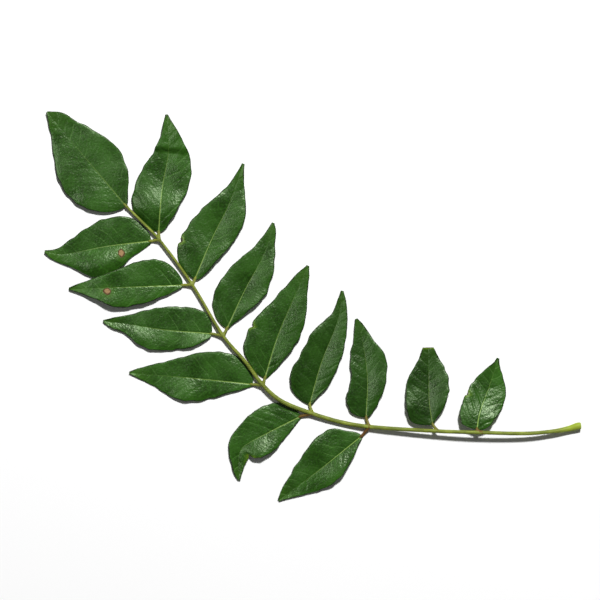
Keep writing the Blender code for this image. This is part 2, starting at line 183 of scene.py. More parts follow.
# Midrib in mm from base to tip; half-widths left and right at widthStations; midrib heights at riseStations; how
# steeply each half rises at foldStations; the share of that rise that its margin loses again; how far a lobe is
# tucked down beside the stalk, in mm; damage. The pair of colour factors, left half then right half, is painted
# light and shade for how the light falls on each half.
leaflets = {
    "leaflet_terminal": dict(
        node=None,
        ribPale=0.45,
        paintedLightShade=(1.0, 0.93),
        midrib=((-57.8, 31.0), (-69.6, 45.0), (-82.3, 60.1)),
        left=(5.3, 10.2, 11.7, 9.3, 4.6, 1.7),
        right=(2.5, 7.3, 9.6, 8.1, 5.1, 3.2),
        rise=(1.0, 1.1, 0.9, 0.7, 0.5, 0.8),
        foldLeft=(0.08, 0.1, 0.06, 0.08, 0.1),
        foldRight=(0.05, 0.0, 0.0, 0.03, -0.03),
        curl=(0.7, 0.5),
        tuck=(0.0, 0.0),
        veinDepth=0.04,
        grooveDepth=0.02,
    ),
    "leaflet_right_1": dict(
        node=1,
        paintedLightShade=(0.96, 1.05),
        midrib=((-47.6, 22.9), (-46.5, 36.4), (-44.5, 48.8), (-45.1, 59.3)),
        left=(4.7, 8.8, 8.3, 5.7, 2.9, 1.3),
        right=(2.4, 5.3, 7.9, 7.7, 3.9, 1.6),
        rise=(0.6, 2.0, 0.65, 0.3, 0.4, 0.5),
        foldLeft=(0.04, 0.06, 0.08, 0.08, 0.04),
        foldRight=(0.12, 0.1, 0.14, 0.16, 0.08),
        curl=(0.6, 0.5),
        tuck=(2.0, 0.0),
        crease=(0.70, 0.026, 1.0),
    ),
    "leaflet_right_2": dict(
        node=2,
        paintedLightShade=(0.92, 0.96),
        midrib=((-36.4, 8.3), (-30.7, 21.6), (-25.7, 31.8), (-21.4, 44.1)),
        left=(5.5, 9.0, 8.2, 5.9, 2.4, 0.9),
        right=(2.2, 4.2, 6.4, 6.5, 3.1, 1.2),
        rise=(0.9, 1.2, 0.45, 0.55, 0.3, 0.35),
        foldLeft=(0.04, 0.08, 0.14, 0.1, 0.06),
        foldRight=(0.18, 0.3, 0.24, 0.18, 0.1),
        curl=(0.4, 0.4),
        tuck=(0.8, 0.0),
        bite=('left', 0.24, 0.02, 0.9),
    ),
    "leaflet_right_3": dict(
        node=3,
        paintedLightShade=(0.86, 0.87),
        midrib=((-26.4, -6.9), (-20.5, 5.6), (-15.0, 16.0), (-12.1, 25.8)),
        left=(4.9, 8.1, 7.8, 5.9, 3.0, 1.2),
        right=(1.2, 3.7, 6.4, 5.3, 2.6, 1.6),
        rise=(0.7, 1.1, 0.5, 0.6, 0.27, 0.35),
        foldLeft=(0.06, 0.12, 0.14, 0.1, 0.06),
        foldRight=(0.18, 0.28, 0.24, 0.2, 0.12),
        curl=(0.3, 0.4),
        tuck=(0.3, 0.0),
    ),
    "leaflet_right_4": dict(
        node=4,
        paintedLightShade=(0.92, 0.94),
        midrib=((-14.7, -22.4), (-10.8, -9.8), (-5.9, 2.0), (-1.3, 12.5)),
        left=(4.8, 9.1, 8.8, 6.0, 3.4, 1.7),
        right=(1.7, 4.3, 6.4, 5.8, 3.2, 1.6),
        rise=(0.5, 0.8, 0.5, 0.27, 0.25, 0.25),
        foldLeft=(0.08, 0.12, 0.1, 0.06, 0.04),
        foldRight=(0.12, 0.2, 0.22, 0.2, 0.1),
        curl=(0.5, 0.4),
        tuck=(0.5, 0.0),
        bite=('left', 0.37, 0.016, 1.0),
    ),
    "leaflet_right_5": dict(
        node=5,
        paintedLightShade=(0.7, 0.77),
        midrib=((-0.8, -30.6), (2.8, -17.8), (7.9, -4.5), (9.3, 4.7)),
        left=(5.4, 8.2, 6.9, 5.9, 2.3, 1.0),
        right=(1.4, 4.2, 5.4, 4.6, 2.7, 1.5),
        rise=(0.6, 0.8, 0.6, 0.4, 0.27, 0.3),
        foldLeft=(0.12, 0.22, 0.22, 0.16, 0.08),
        foldRight=(0.16, 0.28, 0.3, 0.24, 0.1),
        curl=(0.3, 0.35),
        tuck=(0.3, 0.0),
        veinDepth=0.12,
    ),
    "leaflet_right_6": dict(
        node=6,
        paintedLightShade=(0.7, 0.79),
        midrib=((16.7, -34.6), (17.1, -22.3), (15.3, -9.6), (13.6, -4.0)),
        left=(5.0, 6.5, 5.0, 4.9, 2.7, 1.4),
        right=(2.0, 4.2, 6.0, 6.2, 2.9, 1.5),
        rise=(0.8, 0.9, 0.7, 0.45, 0.3, 0.35),
        foldLeft=(0.1, 0.18, 0.2, 0.14, 0.06),
        foldRight=(0.24, 0.34, 0.24, 0.22, 0.1),
        curl=(0.3, 0.4),
        tuck=(0.3, 0.0),
    ),
    "leaflet_right_7": dict(
        node=7,
        paintedLightShade=(0.64, 0.69),
        midrib=((37.3, -36.7), (36.3, -29.9), (36.1, -21.5), (35.9, -12.9)),
        left=(5.8, 7.3, 7.2, 6.5, 3.7, 2.3),
        right=(1.0, 4.4, 6.1, 6.1, 4.2, 2.5),
        rise=(2.0, 1.6, 1.0, 0.6, 0.4, 0.4),
        foldLeft=(0.08, 0.16, 0.16, 0.14, 0.08),
        foldRight=(0.22, 0.34, 0.28, 0.16, 0.08),
        curl=(0.3, 0.3),
        tuck=(0.3, 0.2),
        tornHalf=1.7,
    ),
    "leaflet_right_8": dict(
        node=8,
        paintedLightShade=(0.95, 1.16),
        midrib=((50.9, -38.2), (51.8, -33.3), (54.9, -25.0), (57.6, -16.2)),
        left=(4.9, 6.1, 6.0, 5.2, 2.9, 0.9),
        right=(3.6, 5.2, 6.0, 5.5, 2.9, 1.0),
        rise=(3.2, 2.5, 1.2, 0.35, 0.3, 0.5),
        foldLeft=(0.0, 0.02, 0.04, 0.12, 0.1),
        foldRight=(0.0, 0.06, 0.1, 0.02, 0.04),
        curl=(0.3, 0.3),
        tuck=(0.2, 0.2),
        bite=('left', 0.4, 0.025, 0.55),
        veinDepth=0.16,
    ),
    "leaflet_left_1": dict(
        node=1,
        paintedLightShade=(1.14, 0.95),
        midrib=((-50.0, 20.1), (-63.8, 18.4), (-77.3, 16.0), (-83.0, 16.8)),
        left=(1.8, 4.6, 8.5, 8.6, 3.7, 1.8),
        right=(4.7, 8.4, 8.6, 6.3, 3.3, 1.1),
        rise=(0.45, 0.5, 0.4, 0.4, 0.5, 0.8),
        foldLeft=(0.14, 0.34, 0.42, 0.28, 0.12),
        foldRight=(0.04, 0.04, 0.02, 0.02, 0.0),
        curl=(0.9, 0.5),
        tuck=(0.0, 0.15),
        spot=((9.6, -2.7), (1.0, 1.25)),
        veinDepth=0.03,
    ),
    "leaflet_left_2": dict(
        node=2,
        paintedLightShade=(1.1, 1.05),
        midrib=((-40.2, 6.4), (-56.0, 5.8), (-75.5, 5.2)),
        left=(1.6, 3.7, 5.6, 6.1, 3.0, 1.2),
        right=(4.6, 8.2, 7.7, 5.2, 2.9, 1.4),
        rise=(0.6, 1.4, 1.7, 1.65, 1.25, 0.45),
        foldLeft=(0.05, 0.08, 0.12, 0.2, 0.14),
        foldRight=(0.04, 0.04, 0.03, 0.04, 0.02),
        curl=(0.5, 0.5),
        tuck=(0.0, 0.2),
        spot=((23.4, -1.1), (1.25, 1.0)),
    ),
    "leaflet_left_3": dict(
        node=3,
        paintedLightShade=(1.1, 0.91),
        midrib=((-31.2, -8.7), (-45.6, -7.5), (-58.0, -5.6), (-64.9, -4.8)),
        left=(2.3, 4.9, 6.3, 6.3, 2.9, 1.7),
        right=(5.8, 7.6, 7.4, 5.6, 2.7, 1.3),
        rise=(0.5, 0.6, 0.5, 0.4, 0.3, 0.4),
        foldLeft=(0.28, 0.12, 0.14, 0.3, 0.16),
        foldRight=(0.04, 0.04, 0.03, 0.03, 0.02),
        curl=(0.45, 0.5),
        tuck=(0.0, 0.35),
        veinDepth=0.04,
    ),
    "leaflet_left_4": dict(
        node=4,
        paintedLightShade=(1.1, 0.97),
        midrib=((-18.5, -24.4), (-35.8, -22.6), (-56.8, -20.8)),
        left=(1.5, 3.8, 6.7, 6.9, 3.5, 1.4),
        right=(5.8, 8.7, 8.6, 6.1, 3.4, 1.7),
        rise=(0.45, 0.55, 0.45, 0.3, 0.27, 0.35),
        foldLeft=(0.08, 0.08, 0.2, 0.1, 0.06),
        foldRight=(0.03, 0.03, 0.03, 0.03, 0.02),
        curl=(0.5, 0.5),
        tuck=(0.0, 0.4),
    ),
    "leaflet_left_5": dict(
        node=5,
        paintedLightShade=(1.04, 1.02),
        midrib=((-3.6, -34.3), (-14.5, -39.8), (-21.3, -43.7), (-22.8, -46.8), (-22.7, -54.1)),
        left=(1.2, 3.3, 5.8, 5.4, 2.7, 1.1),
        right=(5.0, 7.6, 7.9, 5.9, 2.5, 1.6),
        rise=(0.5, 0.5, 0.8, 1.2, 0.8, 0.6),
        foldLeft=(0.06, 0.14, 0.34, 0.26, 0.2),
        foldRight=(0.0, 0.0, 0.02, 0.02, 0.0),
        curl=(0.4, 0.5),
        tuck=(0.0, 0.5),
        bite=("left", 0.69, 0.045, 1.0),
    ),
    "leaflet_left_6": dict(
        node=6,
        paintedLightShade=(1.15, 0.98),
        midrib=((15.3, -40.4), (2.3, -50.8), (-10.5, -60.4)),
        left=(1.3, 3.7, 5.9, 5.4, 3.0, 1.2),
        right=(3.2, 8.0, 8.1, 6.4, 3.7, 1.9),
        rise=(0.4, 0.8, 1.3, 0.8, 0.3, 0.35),
        foldLeft=(0.24, 0.34, 0.16, 0.1, 0.08),
        foldRight=(0.04, 0.04, 0.03, 0.03, 0.02),
        curl=(0.4, 0.5),
        tuck=(0.0, 0.2),
    ),
}


# ---- materials ----

lamina = {
    "deep": "1a3609",
    "green": "2a5013",
    "fresh": "34661a",
    "tip": "3f671c",
    # painted shadow along the leaf margin
    "edge": "191d12",
    "rib": "7d9a4a",
    "vein": "4c7234",
    "under": "56783f",
    "wax": "e6ffd2",
    "spotTan": "947350",
    "spotRim": "452c16",
    "yellowed": "5b7a1c",
    "dry": "3d2c18",
    "roughness": 0.32,
    "pebble": 0.55,  # mm, the cuticle's fine unevenness that breaks up its gloss
    "pebbleDepth": 0.040,  # mm
    "shine": 0.33,  # the wax dulls the cuticle to two thirds of a bare one
}


# Living leaf: a thin lamina under a smooth waxy cuticle. It gives the eye a deep green with a satin,
# finely broken gloss, paler along the midrib, the margins and the young tips.
def makeLamina():
    material = bpy.data.materials.new("livingLeafWaxyCuticle")
    material.use_nodes = True
    tree = material.node_tree
    tree.nodes.clear()
    place = addNode(tree, "ShaderNodeAttribute", give="Vector", attribute_name="leafPlace")
    share = addNode(tree, "ShaderNodeAttribute", give="Vector", attribute_name="leafShare")
    marks = addNode(tree, "ShaderNodeAttribute", give="Vector", attribute_name="leafMarks")
    across, along, margin = (
        addNode(tree, "ShaderNodeSeparateXYZ", [place], give=g) for g in ("X", "Y", "Z")
    )
    sideShare, alongShare, upper = (
        addNode(tree, "ShaderNodeSeparateXYZ", [share], give=g) for g in ("X", "Y", "Z")
    )
    paintedLightShadeAndRib = addNode(tree, "ShaderNodeAttribute", give="Vector", attribute_name="leafPaintedLightAndRib")
    paintedLightShade, ribPale = (addNode(tree, "ShaderNodeSeparateXYZ", [paintedLightShadeAndRib], give=g) for g in ("X", "Y"))
    veinAway, spotAway, wound = (
        addNode(tree, "ShaderNodeSeparateXYZ", [marks], give=g) for g in ("X", "Y", "Z")
    )
    away = addNode(tree, "ShaderNodeMath", [across], operation="ABSOLUTE")
    world = addNode(tree, "ShaderNodeTexCoord", give="Object")
    millimetres = addNode(tree, "ShaderNodeVectorMath", [world, (1 / mm,) * 3], operation="MULTIPLY")

    # Broad clouds of darker and paler green, then fine mottling of cells.
    clouds = addNode(tree, "ShaderNodeTexNoise", {"Vector": millimetres, "Scale": 0.13, "Detail": 3.0})
    cloudMix = addNode(tree, "ShaderNodeMapRange", [clouds, 0.35, 0.65, 0.0, 1.0])
    colour = addNode(
        tree, "ShaderNodeMix", {"Factor": cloudMix, "A": linear(lamina["deep"]), "B": linear(lamina["green"])},
        data_type="RGBA",
    )
    mottle = addNode(tree, "ShaderNodeTexNoise", {"Vector": millimetres, "Scale": 1.6, "Detail": 4.0})
    mottleMix = addNode(tree, "ShaderNodeMapRange", [mottle, 0.45, 0.75, 0.0, 0.55])
    colour = addNode(
        tree, "ShaderNodeMix", {"Factor": mottleMix, "A": colour, "B": linear(lamina["fresh"])},
        data_type="RGBA",
    )
    # Young, yellower tissue at the margin and the tip.
    marginMix = addNode(tree, "ShaderNodeMapRange", [margin, 0.0, 1.3, 0.35, 0.0])
    colour = addNode(
        tree, "ShaderNodeMix", {"Factor": marginMix, "A": colour, "B": linear(lamina["fresh"])},
        data_type="RGBA",
    )
    tipMix = addNode(tree, "ShaderNodeMapRange", [alongShare, 0.78, 1.0, 0.0, 0.45])
    colour = addNode(
        tree, "ShaderNodeMix", {"Factor": tipMix, "A": colour, "B": linear(lamina["tip"])}, data_type="RGBA"
    )
    # The very edge is painted dark all round, broken by noise: painted shadow, standing for the shadow line along
    # the margin.
    rimNoise = addNode(tree, "ShaderNodeTexNoise", {"Vector": millimetres, "Scale": 0.5, "Detail": 2.0})
    rimWide = addNode(tree, "ShaderNodeMapRange", [rimNoise, 0.35, 0.65, 0.20, 0.55])
    rimInner = addNode(tree, "ShaderNodeMath", [rimWide, 0.5], operation="MULTIPLY")
    edgeShadowMix = addNode(tree, "ShaderNodeMapRange", [margin, rimInner, rimWide, 0.92, 0.0])
    colour = addNode(
        tree, "ShaderNodeMix", {"Factor": edgeShadowMix, "A": colour, "B": linear(lamina["edge"])}, data_type="RGBA"
    )
    # Side veins show only here and there.
    veinLine = addNode(tree, "ShaderNodeMapRange", [veinAway, 0.06, 0.20, 1.0, 0.0])
    patch = addNode(tree, "ShaderNodeTexNoise", {"Vector": millimetres, "Scale": 0.16, "Detail": 2.0})
    patchMix = addNode(tree, "ShaderNodeMapRange", [patch, 0.46, 0.58, 0.06, 0.9])
    veinMix = addNode(tree, "ShaderNodeMath", [veinLine, patchMix], operation="MULTIPLY")
    colour = addNode(
        tree, "ShaderNodeMix", {"Factor": veinMix, "A": colour, "B": linear(lamina["vein"])}, data_type="RGBA"
    )
    # The midrib: a pale line that narrows and fades towards the tip.
    ribHalf = addNode(tree, "ShaderNodeMapRange", [alongShare, 0.0, 0.8, 0.27, 0.08])
    ribEdge = addNode(tree, "ShaderNodeMath", [ribHalf, 0.6], operation="MULTIPLY")
    ribLine = addNode(tree, "ShaderNodeMapRange", [away, ribEdge, ribHalf, 1.0, 0.0])
    ribFade = addNode(tree, "ShaderNodeMapRange", [alongShare, 0.05, 0.85, 0.9, 0.05])
    ribClear = addNode(tree, "ShaderNodeMath", [ribFade, ribPale], operation="MULTIPLY")
    ribMix = addNode(tree, "ShaderNodeMath", [ribLine, ribClear], operation="MULTIPLY")
    colour = addNode(
        tree, "ShaderNodeMix", {"Factor": ribMix, "A": colour, "B": linear(lamina["rib"])}, data_type="RGBA"
    )
    # Painted light and shade: each half of each leaflet is made lighter or darker by its own factor, for how the
    # light falls on that half.
    colour = addNode(tree, "ShaderNodeVectorMath", {"Vector": colour, "Scale": paintedLightShade}, operation="SCALE")
    # The underside is paler and duller.
    lower = addNode(tree, "ShaderNodeMath", [1.0, upper], operation="SUBTRACT")
    colour = addNode(
        tree, "ShaderNodeMix", {"Factor": lower, "A": colour, "B": linear(lamina["under"])}, data_type="RGBA"
    )
    # Healed wounds and brown spots: dead tissue, tan inside a dark rim.
    ragged = addNode(tree, "ShaderNodeTexNoise", {"Vector": millimetres, "Scale": 1.3, "Detail": 2.0})
    raggedBy = addNode(tree, "ShaderNodeMapRange", [ragged, 0.3, 0.7, -0.16, 0.16])
    spotAt = addNode(tree, "ShaderNodeMath", [spotAway, raggedBy], operation="ADD")
    halo = addNode(tree, "ShaderNodeMapRange", [spotAt, 1.0, 2.6, 0.55, 0.0])
    colour = addNode(
        tree, "ShaderNodeMix", {"Factor": halo, "A": colour, "B": linear(lamina["tip"])}, data_type="RGBA"
    )
    rim = addNode(tree, "ShaderNodeMapRange", [spotAt, 0.98, 1.12, 1.0, 0.0])
    colour = addNode(
        tree, "ShaderNodeMix", {"Factor": rim, "A": colour, "B": linear(lamina["spotRim"])}, data_type="RGBA"
    )
    fleck = addNode(tree, "ShaderNodeTexNoise", {"Vector": millimetres, "Scale": 2.2, "Detail": 1.0})
    tan = addNode(tree, "ShaderNodeMapRange", [fleck, 0.58, 0.7, 1.0, 0.35])
    heart = addNode(tree, "ShaderNodeMapRange", [spotAt, 0.62, 0.8, 1.0, 0.0])
    heart = addNode(tree, "ShaderNodeMath", [heart, tan], operation="MULTIPLY")
    colour = addNode(
        tree, "ShaderNodeMix", {"Factor": heart, "A": colour, "B": linear(lamina["spotTan"])}, data_type="RGBA"
    )
    # Round a bite the tissue has yellowed, and its very edge has dried brown.
    woundAt = addNode(tree, "ShaderNodeMath", [wound, raggedBy], operation="SUBTRACT")
    yellowed = addNode(tree, "ShaderNodeMapRange", [woundAt, 0.15, 0.6, 0.0, 0.75])
    scar = addNode(tree, "ShaderNodeMapRange", [woundAt, 0.72, 0.86, 0.0, 1.0])
    for factor, tint in ((yellowed, "yellowed"), (scar, "dry")):
        colour = addNode(
            tree, "ShaderNodeMix", {"Factor": factor, "A": colour, "B": linear(lamina[tint])}, data_type="RGBA"
        )

    # Gloss: satin on top, broken up by pebbling, nearly matt on dead tissue and below.
    gloss = addNode(tree, "ShaderNodeMapRange", [clouds, 0.3, 0.7, lamina["roughness"] - 0.05, lamina["roughness"] + 0.06])
    dull = addNode(tree, "ShaderNodeMath", [rim, lower], operation="MAXIMUM")
    roughness = addNode(
        tree, "ShaderNodeMix", {"Factor": dull, "A": gloss, "B": 0.72}, data_type="FLOAT"
    )
    pebbles = addNode(
        tree, "ShaderNodeTexVoronoi",
        {"Vector": millimetres, "Scale": 1 / lamina["pebble"], "Detail": 1.0, "Roughness": 0.6},
        feature="SMOOTH_F1",
    )
    crinkle = addNode(tree, "ShaderNodeTexNoise", {"Vector": millimetres, "Scale": 1.5, "Detail": 3.0})
    crinkleHigh = addNode(tree, "ShaderNodeMath", [crinkle, 2.2], operation="MULTIPLY")
    height = addNode(tree, "ShaderNodeMath", [pebbles, crinkleHigh], operation="ADD")
    bump = addNode(
        tree, "ShaderNodeBump",
        {"Strength": 1.0, "Distance": lamina["pebbleDepth"] * mm, "Height": height},
    )
    shader = addNode(
        tree, "ShaderNodeBsdfPrincipled",
        {"Base Color": colour, "Roughness": roughness, "Normal": bump, "IOR": 1.45,
         "Specular IOR Level": lamina["shine"], "Specular Tint": linear(lamina["wax"]), "Metallic": 0.0},
    )
    addNode(tree, "ShaderNodeOutputMaterial", [shader])
    return material


stalk = {
    "green": "727e2e",
    "sunny": "8b963a",
    "shade": "4c561c",
    # brown of the flecks and petiolules; on the stalk's lower flank it is partly painted shade
    "blush": "62381f",
    "base": "8fa032",
    "cut": "4a4420",
    "roughness": 0.46,
    "shine": 0.24,
    "voxel": 0.14,  # mm, fineness of the joined mesh
    "swell": 0.07,  # mm, gives back what the smoothing takes
    "sides": 20,
}


# Green stalk: a smooth, finely ribbed rind. It gives a yellow-green satin, browner near the swollen base, on some
# petiolules and along the lower flank; the lower-flank brown is partly the stalk's own colour and partly painted
# shade on the side away from the light.
def makeRind():
    material = bpy.data.materials.new("greenStalkRind")
    material.use_nodes = True
    tree = material.node_tree
    tree.nodes.clear()
    place = addNode(tree, "ShaderNodeAttribute", give="Vector", attribute_name="stalkPlace")
    along, around, blush = (
        addNode(tree, "ShaderNodeSeparateXYZ", [place], give=g) for g in ("X", "Y", "Z")
    )
    skin = addNode(tree, "ShaderNodeAttribute", give="Vector", attribute_name="stalkSkin")
    swollen, cut = (addNode(tree, "ShaderNodeSeparateXYZ", [skin], give=g) for g in ("X", "Y"))
    world = addNode(tree, "ShaderNodeTexCoord", give="Object")
    millimetres = addNode(tree, "ShaderNodeVectorMath", [world, (1 / mm,) * 3], operation="MULTIPLY")
    patches = addNode(tree, "ShaderNodeTexNoise", {"Vector": millimetres, "Scale": 0.35, "Detail": 3.0})
    patchMix = addNode(tree, "ShaderNodeMapRange", [patches, 0.35, 0.65, 0.0, 1.0])
    colour = addNode(
        tree, "ShaderNodeMix", {"Factor": patchMix, "A": linear(stalk["green"]), "B": linear(stalk["sunny"])},
        data_type="RGBA",
    )
    # Fine ribs run along the stalk: stretched noise on (along, around).
    ribPlace = addNode(tree, "ShaderNodeCombineXYZ", [along, around, 0.0])
    ribScaled = addNode(tree, "ShaderNodeVectorMath", [ribPlace, (0.25, 2.6, 1.0)], operation="MULTIPLY")
    ribs = addNode(tree, "ShaderNodeTexNoise", {"Vector": ribScaled, "Scale": 1.0, "Detail": 3.0})
    ribMix = addNode(tree, "ShaderNodeMapRange", [ribs, 0.42, 0.62, 0.0, 0.8])
    colour = addNode(
        tree, "ShaderNodeMix", {"Factor": ribMix, "A": colour, "B": linear(stalk["shade"])}, data_type="RGBA"
    )
    flecks = addNode(tree, "ShaderNodeTexNoise", {"Vector": millimetres, "Scale": 2.2, "Detail": 2.0})
    fleckMix = addNode(tree, "ShaderNodeMapRange", [flecks, 0.66, 0.72, 0.0, 0.5])
    colour = addNode(
        tree, "ShaderNodeMix", {"Factor": fleckMix, "A": colour, "B": linear(stalk["blush"])}, data_type="RGBA"
    )
    # The swollen base is young and bright; its broken end and its lower flank are brown, partly the stalk's own
    # colour and partly painted shade on the side away from the light.
    for factor, tint in ((swollen, "base"), (blush, "blush"), (cut, "cut")):
        colour = addNode(
            tree, "ShaderNodeMix", {"Factor": factor, "A": colour, "B": linear(stalk[tint])}, data_type="RGBA"
        )
    bump = addNode(tree, "ShaderNodeBump", {"Strength": 1.0, "Distance": 0.04 * mm, "Height": ribs})
    shader = addNode(
        tree, "ShaderNodeBsdfPrincipled",
        {"Base Color": colour, "Roughness": stalk["roughness"], "Normal": bump, "IOR": 1.45,
         "Specular IOR Level": stalk["shine"], "Specular Tint": linear(lamina["wax"]), "Metallic": 0.0},
    )
    addNode(tree, "ShaderNodeOutputMaterial", [shader])
    return material


laminaMaterial = makeLamina()
rindMaterial = makeRind()
print("stage: materials made")


# ---- leaf blade tree ----


# Lays a grid along a midrib line that carries the widths and slopes of both halves, presses veins
# into it, gives it a thickness, and leaves the measures that the material reads.
def makeBladeTree():
    tree = bpy.data.node_groups.new("leafBlade", "GeometryNodeTree")
    face = tree.interface
    face.new_socket("Geometry", in_out="INPUT", socket_type="NodeSocketGeometry")
    for name, kind in (
        ("Rows", "NodeSocketInt"),
        ("Columns", "NodeSocketInt"),
        ("Thickness", "NodeSocketFloat"),
        ("Vein Spacing", "NodeSocketFloat"),
        ("Vein Lean", "NodeSocketFloat"),
        ("Vein Bow", "NodeSocketFloat"),
        ("Vein Depth", "NodeSocketFloat"),
        ("Groove Depth", "NodeSocketFloat"),
        ("Groove Half", "NodeSocketFloat"),
        ("Rib Depth", "NodeSocketFloat"),
        ("Rib Half", "NodeSocketFloat"),
        ("Ripple Height", "NodeSocketFloat"),
        ("Ripple Size", "NodeSocketFloat"),
        ("Spot Along", "NodeSocketFloat"),
        ("Spot Across", "NodeSocketFloat"),
        ("Spot Length", "NodeSocketFloat"),
        ("Spot Width", "NodeSocketFloat"),
        ("Torn", "NodeSocketFloat"),
        ("Seed", "NodeSocketFloat"),
        ("Painted Light Left", "NodeSocketFloat"),
        ("Painted Light Right", "NodeSocketFloat"),
        ("Rib Pale", "NodeSocketFloat"),
        ("Material", "NodeSocketMaterial"),
    ):
        face.new_socket(name, in_out="INPUT", socket_type=kind)
    face.new_socket("Geometry", in_out="OUTPUT", socket_type="NodeSocketGeometry")
    given = addNode(tree, "NodeGroupInput", give=None).outputs

    spine = addNode(tree, "GeometryNodeMeshToCurve", [given["Geometry"]])
    length = addNode(tree, "GeometryNodeCurveLength", [spine])
    grid = addNode(
        tree, "GeometryNodeMeshGrid",
        {"Size X": 1.0, "Size Y": 1.0, "Vertices X": given["Columns"], "Vertices Y": given["Rows"]},
        give="Mesh",
    )
    at = addNode(tree, "GeometryNodeInputPosition")
    gridX = addNode(tree, "ShaderNodeSeparateXYZ", [at], give="X")
    gridY = addNode(tree, "ShaderNodeSeparateXYZ", [at], give="Y")
    across = addNode(tree, "ShaderNodeMath", [gridX, 2.0], operation="MULTIPLY")
    plainAlong = addNode(tree, "ShaderNodeMath", [gridY, 0.5], operation="ADD")
    # Rows crowd towards both ends, where the outline turns fastest.
    turn = addNode(tree, "ShaderNodeMath", [plainAlong, math.pi], operation="MULTIPLY")
    turned = addNode(tree, "ShaderNodeMath", [turn], operation="COSINE")
    crowded = addNode(tree, "ShaderNodeMath", [turned, -0.5, 0.5], operation="MULTIPLY_ADD")
    along = addNode(
        tree, "ShaderNodeMix", {"Factor": 0.75, "A": plainAlong, "B": crowded}, data_type="FLOAT"
    )

    # What the midrib line carries, read at each row.
    samples = []
    for name in ("leftShape", "rightShape", "rowLift"):
        value = addNode(tree, "GeometryNodeInputNamedAttribute", {"Name": name}, data_type="FLOAT_VECTOR")
        samples.append(
            addNode(
                tree, "GeometryNodeSampleCurve", {"Curves": spine, "Value": value, "Factor": along},
                give=None, data_type="FLOAT_VECTOR", mode="FACTOR", use_all_curves=True,
            ).outputs
        )
    centre, tangent = samples[0]["Position"], samples[0]["Tangent"]
    isLeft = addNode(
        tree, "FunctionNodeCompare", {"A": across, "B": 0.0}, data_type="FLOAT", operation="LESS_THAN"
    )
    shape = addNode(
        tree, "GeometryNodeSwitch", [isLeft, samples[1]["Value"], samples[0]["Value"]], input_type="VECTOR"
    )
    half, fold, curl = (addNode(tree, "ShaderNodeSeparateXYZ", [shape], give=g) for g in ("X", "Y", "Z"))
    leftLift, rightLift, wounded = (
        addNode(tree, "ShaderNodeSeparateXYZ", [samples[2]["Value"]], give=g) for g in ("X", "Y", "Z")
    )
    lift = addNode(tree, "GeometryNodeSwitch", [isLeft, rightLift, leftLift], input_type="FLOAT")

    share = addNode(tree, "ShaderNodeMath", [across], operation="ABSOLUTE")
    shareSquared = addNode(tree, "ShaderNodeMath", [share, 2.0], operation="POWER")
    shareCubed = addNode(tree, "ShaderNodeMath", [share, 3.0], operation="POWER")
    away = addNode(tree, "ShaderNodeMath", [share, half], operation="MULTIPLY")

    tangentX = addNode(tree, "ShaderNodeSeparateXYZ", [tangent], give="X")
    tangentY = addNode(tree, "ShaderNodeSeparateXYZ", [tangent], give="Y")
    backX = addNode(tree, "ShaderNodeMath", [tangentX, -1.0], operation="MULTIPLY")
    aside = addNode(tree, "ShaderNodeCombineXYZ", [tangentY, backX, 0.0])
    aside = addNode(tree, "ShaderNodeVectorMath", [aside], operation="NORMALIZE")
    reach = addNode(tree, "ShaderNodeMath", [across, half], operation="MULTIPLY")
    offset = addNode(
        tree, "ShaderNodeVectorMath", {"Vector": aside, "Scale": reach}, operation="SCALE"
    )
    flat = addNode(tree, "ShaderNodeVectorMath", [centre, offset], operation="ADD")

    # Fold, curl and lift of each half.
    folded = addNode(tree, "ShaderNodeMath", [away, fold], operation="MULTIPLY")
    curlReach = addNode(tree, "ShaderNodeMath", [shareCubed, half], operation="MULTIPLY")
    curled = addNode(tree, "ShaderNodeMath", [curlReach, curl], operation="MULTIPLY")
    height = addNode(tree, "ShaderNodeMath", [folded, curled], operation="SUBTRACT")
    lifted = addNode(tree, "ShaderNodeMath", [shareSquared, lift], operation="MULTIPLY")
    height = addNode(tree, "ShaderNodeMath", [height, lifted], operation="ADD")

    # Side veins leave the midrib forwards and bow further forwards near the margin.
    distance = addNode(tree, "ShaderNodeMath", [along, length], operation="MULTIPLY")
    lean = addNode(tree, "ShaderNodeMath", [away, given["Vein Lean"]], operation="MULTIPLY")
    bow = addNode(tree, "ShaderNodeMath", [away, share], operation="MULTIPLY")
    bow = addNode(tree, "ShaderNodeMath", [bow, given["Vein Bow"]], operation="MULTIPLY")
    start = addNode(tree, "ShaderNodeMath", [distance, lean], operation="SUBTRACT")
    start = addNode(tree, "ShaderNodeMath", [start, bow], operation="SUBTRACT")
    phase = addNode(tree, "ShaderNodeMath", [start, given["Vein Spacing"]], operation="DIVIDE")
    wander = addNode(
        tree, "ShaderNodeTexNoise", {"Vector": flat, "W": given["Seed"], "Scale": 160.0, "Detail": 1.0},
        noise_dimensions="4D",
    )
    phase = addNode(tree, "ShaderNodeMath", [wander, 0.9, phase], operation="MULTIPLY_ADD")
    halfStep = addNode(tree, "GeometryNodeSwitch", [isLeft, 0.0, 0.5], input_type="FLOAT")
    phase = addNode(tree, "ShaderNodeMath", [phase, halfStep], operation="ADD")
    phase = addNode(tree, "ShaderNodeMath", [phase, 0.0, 1.0], operation="WRAP")
    phase = addNode(tree, "ShaderNodeMath", [phase, 0.5], operation="SUBTRACT")
    phase = addNode(tree, "ShaderNodeMath", [phase], operation="ABSOLUTE")
    veinAway = addNode(tree, "ShaderNodeMath", [phase, given["Vein Spacing"]], operation="MULTIPLY")
    veinBed = addNode(
        tree, "ShaderNodeMapRange", [veinAway, 0.0, 0.9 * mm, 1.0, 0.0], interpolation_type="SMOOTHERSTEP"
    )
    veinFade = addNode(tree, "ShaderNodeMapRange", [share, 0.7, 1.0, 1.0, 0.0])
